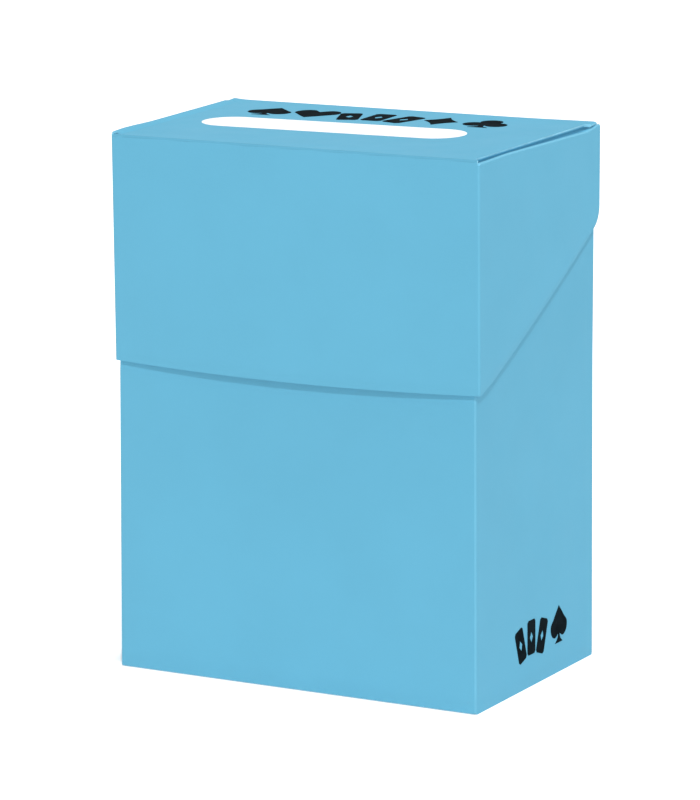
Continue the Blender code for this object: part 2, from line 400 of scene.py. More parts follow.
def sheet_material():
    """Matte polypropylene: a fine sand grain, slightly cloudy, whitened where it was scored and folded,
    partly by the folding and partly as a painted highlight; painted shade darkens creases whose tone is below
    zero, and the slot beside the right tab shines with painted light.
    """
    nodes = Nodes("blue_polypropylene")
    cloud = nodes.ramp(nodes.noise(14 * MM, 3.0), 0.35, 0.65)
    body = nodes.blend(cloud, scaled(BLUE, 0.985), scaled(BLUE, 1.015))
    grain = nodes.noise(GRAIN_SIZE, 2.0, 0.6)
    body = nodes.blend(nodes.ramp(grain, 0.35, 0.65, 0.0, 0.5), body, scaled(BLUE, 1.03))
    crease = nodes.attribute("tone")
    uneven = nodes.ramp(nodes.noise(3.0 * MM, 3.0), 0.3, 0.7, 0.75, 1.0)
    # Whitening along scored lines: partly whitening of the folded plastic, partly a painted highlight on the
    # creases, on the fold crests and along the top panel's right cut edge
    scored = nodes.ramp(crease, CREASE_EDGE, 1.0)
    whitening_and_highlight = nodes.maths("MULTIPLY", nodes.maths("MULTIPLY", scored, uneven), 0.26)
    wear_spots = nodes.ramp(nodes.noise(0.5 * MM, 3.0, 0.65), 0.60, 0.74)
    wear = nodes.maths("MULTIPLY", nodes.maths("MULTIPLY", scored, wear_spots), 0.45)
    share = nodes.maths("MAXIMUM", whitening_and_highlight, wear)
    body = nodes.blend(share, body, WHITENED_AND_HIGHLIGHT_BLUE)
    # Painted shade: creases whose tone is below zero darken towards a shaded copy of the blue
    shade = nodes.ramp(crease, 0.0, -1.0, 0.0, 0.45)
    nodes.put(nodes.shader.inputs["Base Color"], nodes.blend(shade, body, scaled(BLUE, 0.45)))
    # Painted light: the slot beside the right tab shines, standing in for light that reaches through the
    # sheet
    through = nodes.blend(nodes.attribute("painted_glow"), colour(0.0, 0.0, 0.0), scaled(BLUE, TAB_PAINTED_GLOW))
    nodes.put(nodes.shader.inputs["Emission Color"], through)
    nodes.shader.inputs["Emission Strength"].default_value = 1.0
    nodes.material.cycles.emission_sampling = "NONE"
    smudges = nodes.ramp(nodes.noise(9 * MM, 4.0, 0.6), 0.3, 0.7, 0.54, 0.63)
    rubbed = nodes.maths("MULTIPLY", scored, 0.10)
    nodes.put(nodes.shader.inputs["Roughness"], nodes.maths("SUBTRACT", smudges, rubbed))
    pits = nodes.cells(0.30 * MM, "SMOOTH_F1")
    normal = nodes.bump(grain, 0.02 * MM, 0.35)
    normal = nodes.bump(pits, 0.02 * MM, 0.25, normal)
    nodes.put(nodes.shader.inputs["Normal"], normal)
    nodes.shader.inputs["Specular IOR Level"].default_value = 0.08
    return nodes.material


def cut_edge_material():
    """The cut edge of the sheet: paler and smoother, with the fine lines of the cutting rule."""
    nodes = Nodes("blue_cut_edge")
    lines = nodes.noise(0.12 * MM, 2.0)
    patches = nodes.ramp(nodes.noise(2.5 * MM, 2.0), 0.35, 0.65)
    body = nodes.blend(patches, scaled(CUT_BLUE, 0.90), scaled(CUT_BLUE, 1.08))
    nodes.put(nodes.shader.inputs["Base Color"], body)
    nodes.put(nodes.shader.inputs["Roughness"], nodes.ramp(lines, 0.3, 0.7, 0.36, 0.50))
    nodes.put(nodes.shader.inputs["Normal"], nodes.bump(lines, 0.02 * MM, 0.4))
    nodes.shader.inputs["Specular IOR Level"].default_value = 0.4
    return nodes.material


def label_material():
    """White printed area: a matte ink that takes a pen, a little uneven in tone."""
    nodes = Nodes("white_print")
    tone = nodes.ramp(nodes.noise(3.5 * MM, 3.0), 0.35, 0.65)
    body = nodes.blend(tone, colour(0.86, 0.865, 0.87), colour(0.90, 0.90, 0.90))
    nodes.put(nodes.shader.inputs["Base Color"], body)
    tooth = nodes.noise(0.16 * MM, 2.0, 0.6)
    nodes.put(nodes.shader.inputs["Roughness"], nodes.ramp(tooth, 0.3, 0.7, 0.58, 0.72))
    nodes.put(nodes.shader.inputs["Normal"], nodes.bump(tooth, 0.015 * MM, 0.3))
    return nodes.material


def ink_material():
    """Black printing ink: thin over the grain, with small paler breaks."""
    nodes = Nodes("black_ink")
    speckle = nodes.ramp(nodes.noise(0.35 * MM, 3.0, 0.6), 0.64, 0.76, 0.0, 0.30)
    cloud = nodes.ramp(nodes.noise(2.5 * MM, 2.0), 0.35, 0.65)
    body = nodes.blend(cloud, colour(0.002, 0.005, 0.007), colour(0.005, 0.010, 0.013))
    body = nodes.blend(speckle, body, colour(0.035, 0.06, 0.08))
    nodes.put(nodes.shader.inputs["Base Color"], body)
    grain = nodes.noise(GRAIN_SIZE, 2.0, 0.6)
    nodes.put(nodes.shader.inputs["Roughness"], nodes.ramp(grain, 0.3, 0.7, 0.76, 0.86))
    nodes.put(nodes.shader.inputs["Normal"], nodes.bump(grain, 0.015 * MM, 0.3))
    nodes.shader.inputs["Specular IOR Level"].default_value = 0.02
    return nodes.material


def divider_material():
    """Frosted white sheet, slightly cloudy."""
    nodes = Nodes("frosted_divider")
    cloud = nodes.ramp(nodes.noise(18 * MM, 3.0), 0.35, 0.65)
    body = nodes.blend(cloud, colour(0.76, 0.785, 0.80), colour(0.83, 0.845, 0.85))
    nodes.put(nodes.shader.inputs["Base Color"], body)
    frost = nodes.noise(0.3 * MM, 3.0, 0.6)
    nodes.put(nodes.shader.inputs["Roughness"], nodes.ramp(frost, 0.3, 0.7, 0.38, 0.55))
    nodes.put(nodes.shader.inputs["Normal"], nodes.bump(frost, 0.02 * MM, 0.35))
    return nodes.material


def floor_material():
    """A pale floor that glows a little, so that it is as white as the sky behind it."""
    nodes = Nodes("pale_floor")
    tone = nodes.ramp(nodes.noise(60 * MM, 3.0), 0.35, 0.65)
    body = nodes.blend(tone, colour(0.77, 0.77, 0.77), colour(0.79, 0.79, 0.79))
    nodes.put(nodes.shader.inputs["Base Color"], body)
    nodes.shader.inputs["Roughness"].default_value = 0.8
    nodes.shader.inputs["Specular IOR Level"].default_value = 0.2
    nodes.shader.inputs["Emission Color"].default_value = colour(1.0, 1.0, 1.0)
    nodes.shader.inputs["Emission Strength"].default_value = FLOOR_GLOW
    nodes.material.cycles.emission_sampling = "NONE"
    return nodes.material


# ---------------------------------------------------------------- folded sheets


def thickness_share(crease):
    """The share of the sheet's thickness at this crease value."""
    return 1 - (1 - CREASE_THINNING) * crease


class FoldedSheet:
    """One folded sheet, as grids that share their edges."""

    def __init__(self):
        self.mesh = bmesh.new()
        self.crease = self.mesh.verts.layers.float.new("crease")
        self.tone = self.mesh.verts.layers.float.new("tone")
        self.painted_glow = self.mesh.verts.layers.float.new("painted_glow")

    def grid(self, rows, tone=1.0, painted_light_rows=()):
        """Adds quads between rows of (point, crease) pairs, all of the same length.

        The tone is how far a crease whitens the sheet, partly whitening of the folded plastic and partly a
        painted highlight, and below zero how far painted shade darkens it. The rows given by their numbers in
        the last argument lie in a narrow slot and shine with painted light, which stands in for light that
        reaches through the sheet.
        """
        made = []
        for number, row in enumerate(rows):
            verts = []
            for point, crease in row:
                vert = self.mesh.verts.new(point)
                vert[self.crease] = crease
                vert[self.tone] = max(0.0, crease) * tone
                vert[self.painted_glow] = 1.0 if number in painted_light_rows else 0.0
                verts.append(vert)
            made.append(verts)
        for lower, upper in zip(made, made[1:]):
            for index in range(len(lower) - 1):
                corners = (lower[index], lower[index + 1], upper[index + 1], upper[index])
                self.mesh.faces.new(corners)

    def finish(self, name, shape, materials, thickness=SHEET, rounding=RIM_ROUNDING, middle=-1.0):
        """Welds the grids, bends them with shape(point) and gives the sheet its thickness.

        The grids are the sheet's outer face, or its middle where middle is 0.
        """
        bmesh.ops.remove_doubles(self.mesh, verts=self.mesh.verts, dist=WELD_DISTANCE)
        for vert in self.mesh.verts:
            vert.co = shape(vert.co)
        for face in self.mesh.faces:
            face.smooth = True
        data = bpy.data.meshes.new(name)
        self.mesh.to_mesh(data)
        self.mesh.free()
        for material in materials:
            data.materials.append(material)
        piece = bpy.data.objects.new(name, data)
        bpy.context.scene.collection.objects.link(piece)
        group = piece.vertex_groups.new(name="full_thickness")
        for index, value in enumerate(data.attributes["crease"].data):
            weight = 1 - (value.value - LEAST_CREASE) / (MOST_CREASE - LEAST_CREASE)
            group.add([index], weight, "REPLACE")
        solid = piece.modifiers.new("thickness", "SOLIDIFY")
        solid.thickness = thickness * thickness_share(LEAST_CREASE)
        solid.offset = middle
        solid.use_even_offset = True
        solid.vertex_group = group.name
        solid.thickness_vertex_group = thickness_share(MOST_CREASE) / thickness_share(LEAST_CREASE)
        solid.material_offset_rim = 1
        round_rims(piece, rounding)
        return piece


def round_rims(piece, width):
    bevel = piece.modifiers.new("rims", "BEVEL")
    bevel.width = width
    bevel.segments = RIM_SEGMENTS
    bevel.limit_method = "ANGLE"
    bevel.angle_limit = RIM_ANGLE


def no_change(point):
    return point


class Column:
    """One upright line of a wall: its place in plan, its lowest and highest point, and how creased it is."""

    def __init__(self, x, y, low, high, crease):
        self.x = x
        self.y = y
        self.low = low
        self.high = high
        self.crease = crease

    def point(self, share):
        return Vector((self.x, self.y, mix(self.low, self.high, share)))


def corner_places(centre_x, centre_y, start_degrees):
    """Plan points of a quarter turn, without its two ends."""
    places = []
    for step in range(1, CREASE_STEPS):
        angle = math.radians(start_degrees + 90 * step / CREASE_STEPS)
        x = centre_x + CREASE_RADIUS * math.cos(angle)
        y = centre_y + CREASE_RADIUS * math.sin(angle)
        places.append((x, y))
    return places


def wall_rows(columns, shares):
    return [[(column.point(share), column.crease) for column in columns] for share in shares]


def even_shares(count):
    return [step / count for step in range(count + 1)]


def creased_shares(count, height):
    """Even shares, with one more just below the crease at the top."""
    shares = even_shares(count)
    return shares[:-1] + [1 - CREASE_REACH / height, 1.0]


# ---------------------------------------------------------------- body


def body_shape(point):
    """The walls flare a little at the foot and lean in towards the lid, which squeezes the left one."""
    share = min(1.0, point.z / LEAN_TOP_Z)
    side = point.x / BODY_HALF_X
    depth = (point.y - (BODY_FRONT_Y + BODY_BACK_Y) / 2) / (BODY_BACK_Y - BODY_FRONT_Y) * 2
    below_hinge = smooth(HINGE.z - point.z, 0.0, BACK_BULGE_REACH)
    squeeze = SQUEEZE * smooth(point.z, LEAN_TOP_Z, LEAN_TOP_Z + SQUEEZE_LENGTH) * smooth(-side, 0.0, 1.0)
    out_x = side * mix(FOOT_FLARE, -LEAN_X, share)
    out_y = depth * mix(FOOT_FLARE * FOOT_FLARE_IN_DEPTH, -LEAN_Y, share) + BACK_BULGE * max(0.0, depth)
    return Vector((point.x + out_x + BODY_SHIFT_X + squeeze, point.y + out_y * below_hinge, point.z))


def side_wall_top(y):
    """Height of the side wall's top edge, which slopes up to a round back corner."""
    slope = mix(WALL_FRONT_TOP, WALL_BACK_TOP, (y - BODY_FRONT_Y) / (BODY_BACK_Y - BODY_FRONT_Y))
    return slope - arc_drop(max(0.0, BODY_BACK_Y - CREASE_RADIUS - y), WALL_CORNER)


def edge_crease(distance_to_crease):
    """The crease value of a line: CREASE_EDGE right beside a crease, and 0 further off."""
    return CREASE_EDGE if distance_to_crease < CREASE_REACH / 2 else 0.0


def side_wall(x, front_y, back_y, free_back):
    """Columns of a side wall from its front crease to the back, which is a crease too unless it is free."""
    length = back_y - front_y
    columns = []
    for distance in run_stations(length, BODY_SIDE_COLUMNS, WALL_CORNER):
        y = front_y + distance
        crease = edge_crease(distance if free_back else min(distance, length - distance))
        low = FOOT_CORNER if crease else 0.0
        columns.append(Column(x, y, low, side_wall_top(y), crease))
    return columns


def corner_columns(centre_x, centre_y, start_degrees, low, high):
    """Columns of an upright crease, between the flat runs beside it."""
    places = corner_places(centre_x, centre_y, start_degrees)
    return [Column(x, y, low, high, 1.0) for x, y in places]


def build_body(materials):
    """The walls as one wrapped sheet, with the seam flap welded inside the left wall."""
    sheet = FoldedSheet()
    left_x = -BODY_HALF_X
    right_x = BODY_HALF_X
    front_y = BODY_FRONT_Y
    back_y = BODY_BACK_Y
    flap_x = left_x + SHEET + SEAM_CLEARANCE
    radius = CREASE_RADIUS

    left = side_wall(left_x, front_y + radius, back_y - SEAM_CLEARANCE, True)[::-1]
    right = side_wall(right_x, front_y + radius, back_y - radius, False)
    back_top = right[-1].high
    front = []
    front_length = right_x - left_x - 2 * radius
    for distance in run_stations(front_length, BODY_FRONT_COLUMNS):
        crease = edge_crease(min(distance, front_length - distance))
        low = FOOT_CORNER if crease else FRONT_FOOT_LIFT
        front.append(Column(left_x + radius + distance, front_y, low, WALL_FRONT_TOP, crease))
    back = []
    back_length = right_x - flap_x - 2 * radius
    for distance in run_stations(back_length, BODY_FRONT_COLUMNS):
        crease = edge_crease(min(distance, back_length - distance))
        low = FOOT_CORNER if crease else 0.0
        back.append(Column(right_x - radius - distance, back_y, low, back_top, crease))
    columns = list(left)
    columns += corner_columns(left_x + radius, front_y + radius, 180, FOOT_CORNER, WALL_FRONT_TOP)
    columns += front
    columns += corner_columns(right_x - radius, front_y + radius, 270, FOOT_CORNER, WALL_FRONT_TOP)
    columns += right
    columns += corner_columns(right_x - radius, back_y - radius, 0, FOOT_BACK_CORNER, back_top)
    columns += back
    columns += corner_columns(flap_x + radius, back_y - radius, 90, FOOT_CORNER, back_top)
    for distance in run_stations(SEAM_REACH, SEAM_COLUMNS):
        share = distance / SEAM_REACH
        low = FOOT_CORNER + SEAM_TAPER * share
        high = back_top - SEAM_TAPER * share
        columns.append(Column(flap_x, back_y - radius - distance, low, high, edge_crease(distance)))
    rows = wall_rows(columns, even_shares(BODY_ROWS))
    rows[0] = [(point, crease or LEAST_CREASE) for point, crease in rows[0]]
    sheet.grid(rows, BODY_CREASE_TONE)

    top_end = HINGE.z - SHEET_END
    upper = [Column(column.x, column.y, back_top, top_end - WALL_END_REACH, 0.0) for column in back]
    sheet.grid(wall_rows(upper, even_shares(WALL_END_ROWS)))
    last_row = [(column.point(1), 0.0) for column in upper]
    end_row = [(Vector((point.x, HINGE.y + END_LIFT, top_end)), 1.0) for point, _ in last_row]
    sheet.grid([last_row, end_row])
    return sheet.finish("body_sheet", body_shape, materials)


# ---------------------------------------------------------------- lid


def side_edge_z(y):
    """Height of the lower edge of the lid's side. It turns into the round back corner half a radius early."""
    run = y - LID_FRONT_Y
    length = LID_BACK_Y - LID_FRONT_Y
    start = length - SIDE_BACK_RADIUS / 2
    straight = min(run, start)
    z = SIDE_EDGE_START_Z + SIDE_EDGE_SLOPE * straight + SIDE_EDGE_CURVE * straight ** 2
    z += SIDE_EDGE_FRONT_LIFT * math.exp(-run / SIDE_EDGE_FRONT_REACH)
    if run <= start:
        return z
    centre_run = length - SIDE_BACK_RADIUS
    centre_z = z + math.sqrt(SIDE_BACK_RADIUS ** 2 - (start - centre_run) ** 2)
    return centre_z - math.sqrt(max(0.0, SIDE_BACK_RADIUS ** 2 - (run - centre_run) ** 2))


def fold_z(side, y):
    """Height of the outer crest of the fold along the top of the lid's side.

    The left fold stands a little above the top panel and drops under its ear at the back. The right one
    stands below the panel and rises to its ear.
    """
    run = y - LID_FRONT_Y
    ending = 1 - smooth(LID_BACK_Y - y, FOLD_END_START * FOLD_END_LENGTH, FOLD_END_LENGTH)
    if side > 0:
        crest = mix(FOLD_FRONT_Z, FOLD_Z, smooth(run, 0.0, FOLD_RISE_LENGTH))
        return crest + FOLD_END_RISE * ending
    start = arc_drop(run, LEFT_FOLD_FRONT_LENGTH) / LEFT_FOLD_FRONT_LENGTH * LEFT_FOLD_FRONT_DROP
    lift_end = LEFT_FOLD_FRONT_LIFT_LENGTH
    front_lift = LEFT_FOLD_FRONT_LIFT * (1 - smooth(run, LEFT_FOLD_FRONT_LIFT_START * lift_end, lift_end))
    return flat_top_z(0.0, y) + LEFT_FOLD_LIFT + front_lift - start - LEFT_FOLD_END_DROP * ending


def share_of_depth(y):
    """0 at the lid's front and 1 at its back."""
    return (y - LID_FRONT_Y) / (LID_BACK_Y - LID_FRONT_Y)


def flat_top_z(x, y):
    """Height of the top panel's outer face, without the ears' curl and the dip to the hinge."""
    rise = TOP_RISE + TOP_TWIST * x / LID_HALF_X
    ridge = TOP_RIDGE * smooth(y, HINGE.y - TOP_RIDGE_LENGTH, HINGE.y - SHEET_END)
    back_share = share_of_depth(y)
    lift = TOP_EAR_LIFT * smooth(x / LID_HALF_X, TOP_EAR_LIFT_START, 1.0) * back_share
    if x < 0 and y > HINGE.y - TOP_EAR_LENGTH - TOP_EAR_STEP:
        lift = LEFT_EAR_LIFT * ear_share(y) * smooth(-x / LID_HALF_X, LEFT_EAR_START, LEFT_EAR_END)
    return LID_TOP_Z + rise * back_share + ridge + lift


def ear_share(y):
    """1 where the top panel has its ears, beside the hinge, and 0 in front of them."""
    return 1 - smooth(HINGE.y - y, TOP_EAR_LENGTH - TOP_EAR_STEP, TOP_EAR_LENGTH)


def top_z(x, y):
    """Height of the top panel's outer face. The right ear curls down by TOP_EAR_CURL at its edge."""
    inset = LID_MID_X + TOP_EAR_HALF_X - x
    curl_share = 2 * (1 - smooth(inset, -TOP_EAR_CURL_REACH, TOP_EAR_CURL_REACH))
    curl = TOP_EAR_CURL * ear_share(y) * curl_share
    dip = smooth(y, HINGE.y - SHEET_END - TOP_HINGE_DIP, HINGE.y - SHEET_END)
    return mix(flat_top_z(x, y) - curl, HINGE.z + END_LIFT, dip)


def top_half_x(y):
    """Half the top panel's width: full at its two creases and narrower between."""
    cut = mix(TOP_CUT_FRONT_HALF_X, TOP_CUT_BACK_HALF_X, share_of_depth(y))
    width = mix(TOP_FRONT_HALF_X, cut, smooth(y - LID_FRONT_Y, TOP_FRONT_TAPER_START, TOP_FRONT_TAPER))
    ear = TOP_EAR_HALF_X - arc_drop(HINGE.y - SHEET_END - y, TOP_EAR_CORNER)
    return mix(width, ear, ear_share(y))


def lid_shape(point):
    """The front leans out to the top and bows out at its lower middle; the left side flares to the back."""
    near_front = 1 - smooth(point.y, LID_FRONT_Y, LID_FRONT_Y + LID_BEND_REACH)
    up = min(1.0, max(0.0, (point.z - LID_FRONT_END_Z) / (LID_TOP_Z - LID_FRONT_END_Z)))
    across = (point.x - LID_MID_X) / LID_HALF_X
    out = LID_FRONT_LEAN * up + LID_FRONT_BOW * (1 - up) * (1 - across ** 2)
    near_left = smooth(-across, LEFT_FLARE_START, LEFT_FLARE_END)
    high = smooth(point.z, LID_FRONT_END_Z + LEFT_FLARE_FOOT, LID_TOP_Z)
    flare = LEFT_FLARE * share_of_depth(point.y) * near_left * high
    return Vector((point.x - flare, point.y - out * near_front, point.z))


def lid_side(side):
    """Columns of one of the lid's sides, from its front crease to the back."""
    x = LID_MID_X + side * LID_HALF_X
    front_y = LID_FRONT_Y + CREASE_RADIUS
    length = LID_BACK_Y - front_y
    columns = []
    for distance in run_stations(length, LID_SIDE_COLUMNS, SIDE_BACK_RADIUS / 2):
        y = front_y + distance
        columns.append(Column(x, y, side_edge_z(y), fold_z(side, y) - FOLD_RADIUS, edge_crease(distance)))
    return columns


def add_fold_and_tab(sheet, side, columns):
    """The fold along the top of a side, and the tab that runs in from it under the top panel."""
    x = LID_MID_X + side * LID_HALF_X
    rows = []
    for step in range(CREASE_STEPS + 1):
        angle = math.pi / 2 * step / CREASE_STEPS
        fold_x = x - side * FOLD_RADIUS * (1 - math.cos(angle))
        up = FOLD_RADIUS * math.sin(angle)
        crease = FOLD_CREASE if 0 < step < CREASE_STEPS else 0.0
        rows.append([(Vector((fold_x, column.y, column.high + up)), crease) for column in columns])
    last = rows[-1]
    front_y = columns[0].y
    back_y = columns[-1].y
    reaches = [TAB_DROP_REACH * share for share in TAB_DROP_SHARES]
    reaches += [TAB_REACH * share for share in TAB_SHARES]
    for reach in reaches:
        taper = TAB_START + TAB_TAPER * reach / TAB_REACH + arc_drop(TAB_REACH - reach, TAB_ROUNDING)
        dip = 0.0
        if side > 0:
            dip = TAB_DIP * smooth(reach, 0.0, TAB_DIP_REACH)
            dip *= 1 - smooth(reach, TAB_DROP_REACH, TAB_DIP_END)
        row = []
        for point, _ in last:
            y = mix(front_y + taper, back_y - taper, (point.y - front_y) / (back_y - front_y))
            under_top = flat_top_z(point.x, y) - SHEET - TAB_GAP
            z = mix(point.z, under_top, smooth(reach, 0.0, TAB_DROP_REACH)) - dip
            row.append((Vector((point.x - side * reach, y, z)), 0.0))
        rows.append(row)
    if side < 0:
        sheet.grid([row[::-1] for row in rows], FOLD_TONE)
        return
    slot_start = CREASE_STEPS + 1
    # The slot's rows shine with painted light
    sheet.grid(rows, FOLD_TONE, range(slot_start, slot_start + len(TAB_DROP_SHARES)))


def front_edge_z(x):
    """Height of the lower edge of the lid's front, which sags in the middle."""
    across = (x - LID_MID_X) / LID_HALF_X
    return LID_FRONT_END_Z - LID_FRONT_SAG * (1 - across ** 2)


def build_lid(materials):
    """The lid as one sheet: front, top, sides and their tabs."""
    sheet = FoldedSheet()
    left = lid_side(-1)
    right = lid_side(1)
    radius = CREASE_RADIUS
    left_x = left[0].x
    right_x = right[0].x
    front_y = LID_FRONT_Y
    top_end = LID_TOP_Z - radius
    length = right_x - left_x - 2 * radius
    front = []
    for distance in fine_stations(length, LID_FRONT_COLUMNS):
        x = left_x + radius + distance
        crease = edge_crease(min(distance, length - distance))
        front.append(Column(x, front_y, front_edge_z(x), top_end, crease))
    columns = left[::-1]
    columns += corner_columns(left_x + radius, front_y + radius, 180, left[0].low, left[0].high)
    columns += front
    columns += corner_columns(right_x - radius, front_y + radius, 270, right[0].low, right[0].high)
    columns += right
    shares = creased_shares(LID_ROWS, LID_TOP_Z - LID_FRONT_END_Z)
    sheet.grid(wall_rows(columns, shares), LID_CREASE_TONE)
    add_fold_and_tab(sheet, -1, left)
    add_fold_and_tab(sheet, 1, right)

    rows = []
    for step in range(CREASE_STEPS + 1):
        angle = math.pi / 2 * step / CREASE_STEPS
        y = front_y + radius * (1 - math.cos(angle))
        z = top_end + radius * math.sin(angle)
        rows.append([(Vector((column.x, y, z)), 1.0) for column in front])
    # Painted shade along this crease, from its tone below zero
    sheet.grid(rows, TOP_CREASE_TONE)
    rows = [[(point, 0.0) for point, _ in rows[-1]]]
    panel_y = [front_y + radius + distance for distance in TOP_FRONT_ROWS]
    panel_start = panel_y[-1]
    panel_end = HINGE.y - SHEET_END
    ear_start = HINGE.y - TOP_EAR_LENGTH
    for share in even_shares(TOP_PANEL_ROWS)[1:]:
        panel_y.append(mix(panel_start, ear_start - TOP_EAR_LEAD, share))
    panel_y += [mix(ear_start, panel_end, share) for share in even_shares(TOP_EAR_ROWS)]
    widest = front[-1].x - LID_MID_X
    for y in panel_y:
        row = []
        for column in front:
            x = LID_MID_X + (column.x - LID_MID_X) / widest * top_half_x(y)
            crease = 1.0 if y == panel_y[-1] else 0.0
            # The right cut edge is thinner, and whitened as a painted highlight
            if column is front[-1] and y < ear_start:
                crease = TOP_CUT_CREASE
            row.append((Vector((x, y, top_z(x, y))), crease))
        rows.append(row)
    sheet.grid(rows)
    return sheet.finish("lid_sheet", lid_shape, materials)


def build_hinge_web(materials):
    """The thin living hinge, which bends between the back wall and the lid's top panel."""
    sheet = FoldedSheet()
    half_x = BODY_HALF_X - LEAN_X - SQUEEZE - SHEET
    path = [Vector((0, HINGE.y, HINGE.z - WEB_REACH)), Vector((0, HINGE.y, HINGE.z - WEB_BEND * 2))]
    for share in even_shares(WEB_BEND_STEPS):
        angle = math.pi / 2 * share
        inward = WEB_BEND * (1 - math.cos(angle))
        down = WEB_BEND * (1 - math.sin(angle))
        path.append(Vector((0, HINGE.y - inward, HINGE.z - down)))
    path.append(Vector((0, HINGE.y - WEB_BEND * 2, HINGE.z)))
    path.append(Vector((0, HINGE.y - WEB_REACH, HINGE.z)))
    across = [mix(-half_x, half_x, share) for share in even_shares(WEB_COLUMNS)]
    rows = []
    for place in path:
        crease = WEB_CREASE if (place - HINGE).length < WEB_BEND * 2 else 0.0
        rows.append([(Vector((x, place.y, place.z)), crease) for x in across])
    sheet.grid(rows)
    return sheet.finish("hinge_web", no_change, materials, WEB_SHEET, WEB_ROUNDING, 0.0)


# ---------------------------------------------------------------- printing


def filled_outlines(outlines):
    """The points and faces of a filled plate, half a unit thick each way, with these closed outlines."""
    curve = bpy.data.curves.new("outline", "CURVE")
    curve.dimensions = "2D"
    curve.fill_mode = "BOTH"
    curve.extrude = 0.5
    curve.resolution_u = OUTLINE_STEPS
    for outline in outlines:
        spline = curve.splines.new("BEZIER")
        spline.bezier_points.add(len(outline) - 1)
        spline.use_cyclic_u = True
        for point, (x, y, is_round) in zip(spline.bezier_points, outline):
            point.co = (x, y, 0)
            kind = "AUTO" if is_round else "VECTOR"
            point.handle_left_type = kind
            point.handle_right_type = kind
    helper = bpy.data.objects.new("outline", curve)
    bpy.context.scene.collection.objects.link(helper)
    bpy.context.view_layer.update()
    evaluated = helper.evaluated_get(bpy.context.evaluated_depsgraph_get())
    data = bpy.data.meshes.new_from_object(evaluated)
    points = [vert.co.copy() for vert in data.vertices]
    faces = [tuple(face.vertices) for face in data.polygons]
    bpy.data.objects.remove(helper)
    bpy.data.curves.remove(curve)
    bpy.data.meshes.remove(data)
    return points, faces


# The marks are drawn about one unit high. Each is a list of parts, and a part is a list of outlines: its own,
# then any holes. An outline is a list of (x, y, round) points.


def mirrored(*half):
    """A closed outline from its right half: points from the lowest on the middle line to the highest."""
    left = [(-x, y, is_round) for x, y, is_round in reversed(half) if x > 0]
    return list(half) + left


def stem(top_half_width, top):
    """The foot that a spade and a club stand on."""
    return mirrored((0, -0.5, False), (0.22, -0.5, False), (0.07, -0.36, True),
                    (top_half_width, top, False), (0, top, False))


def heart():
    return [[mirrored((0, -0.5, False), (0.30, -0.16, True), (0.50, 0.18, True),
                      (0.27, 0.48, True), (0, 0.27, False))]]


def spade():
    leaf = mirrored((0, -0.22, False), (0.27, -0.34, True), (0.48, -0.06, True),
                    (0.28, 0.20, True), (0, 0.5, False))
    return [[leaf], [stem(0.04, -0.15)]]


def diamond():
    return [[mirrored((0, -0.5, False), (0.17, -0.22, True), (0.38, 0, False),
                      (0.17, 0.22, True), (0, 0.5, False))]]


def circle(x, y, radius):
    return [(x + radius, y, True), (x, y + radius, True), (x - radius, y, True), (x, y - radius, True)]


def club():
    leaves = [[circle(x, y, 0.235)] for x, y in ((0, 0.255), (-0.245, -0.10), (0.245, -0.10))]
    return leaves + [[stem(0.05, 0.05)]]


def fanned_cards():
    """Three playing cards spread from a pivot below them, each with an open diamond in its middle."""
    parts = []
    width, height, corner, pivot, drop = 0.46, 0.92, 0.06, 1.55, 0.45
    for tilt in (-18, 0, 18):
        sine, cosine = math.sin(math.radians(tilt)), math.cos(math.radians(tilt))

        def place(x, y):
            reach = y + pivot
            return (x * cosine + reach * sine, reach * cosine - x * sine - pivot - drop, False)

        card = []
        for side_x, side_y in ((1, 0), (1, 1), (-1, 1), (-1, 0)):
            x, y = side_x * width / 2, side_y * height
            inner_y = y + corner * (1 - 2 * side_y)
            ends = [(x - corner * side_x, y), (x, inner_y)]
            if side_x * (side_y - 0.5) > 0:
                ends.reverse()
            card += [place(end_x, end_y) for end_x, end_y in ends]
        hole = [place(x, height / 2 + y) for x, y in ((0.09, 0), (0, 0.15), (-0.09, 0), (0, -0.15))]
        parts.append([card, hole])
    return parts


def film_piece(name, parts, size, place, material):
    """Thin plates of ink. place(x, y, lift) puts a point of the flat artwork on the sheet."""
    points, faces = [], []
    for number, outlines in enumerate(parts):
        flat, flat_faces = filled_outlines(outlines)
        start = len(points)
        top = FILM_LIFT + FILM + number * FILM_STEP
        for point in flat:
            lift = top if point.z > 0 else -FILM_LIFT
            points.append(place(point.x * size, point.y * size, lift))
        faces += [tuple(start + index for index in face) for face in flat_faces]
    data = bpy.data.meshes.new(name)
    data.from_pydata(points, [], faces)
    data.materials.append(material)
    made = bmesh.new()
    made.from_mesh(data)
    bmesh.ops.remove_doubles(made, verts=made.verts, dist=FILM_WELD)
    bmesh.ops.recalc_face_normals(made, faces=made.faces)
    made.to_mesh(data)
    made.free()
    piece = bpy.data.objects.new(name, data)
    bpy.context.scene.collection.objects.link(piece)
    return piece


def on_top(centre_x, centre_y):
    """Places artwork on the lid's top, turned like the label."""
    def place(x, y, lift):
        across = centre_x + x * math.cos(LABEL_TURN) - y * math.sin(LABEL_TURN)
        along = centre_y + x * math.sin(LABEL_TURN) + y * math.cos(LABEL_TURN)
        return Vector((across, along, top_z(across, along) + lift))
    return place


def on_right_wall(centre_y, centre_z):
    """Places artwork on the body's right wall."""
    def place(x, y, lift):
        spot = body_shape(Vector((BODY_HALF_X, centre_y + x, centre_z + y)))
        return spot + Vector((lift, 0, 0))
    return place


def stadium_outline(length, width):
    """Straight long sides and half-round ends."""
    radius = width / 2
    straight = length / 2 - radius
    points = []
    for side in (1, -1):
        for share in even_shares(LABEL_END_STEPS):
            angle = math.pi * (share - 0.5)
            x = side * (straight + radius * math.cos(angle))
            points.append((x, side * radius * math.sin(angle), False))
    return points


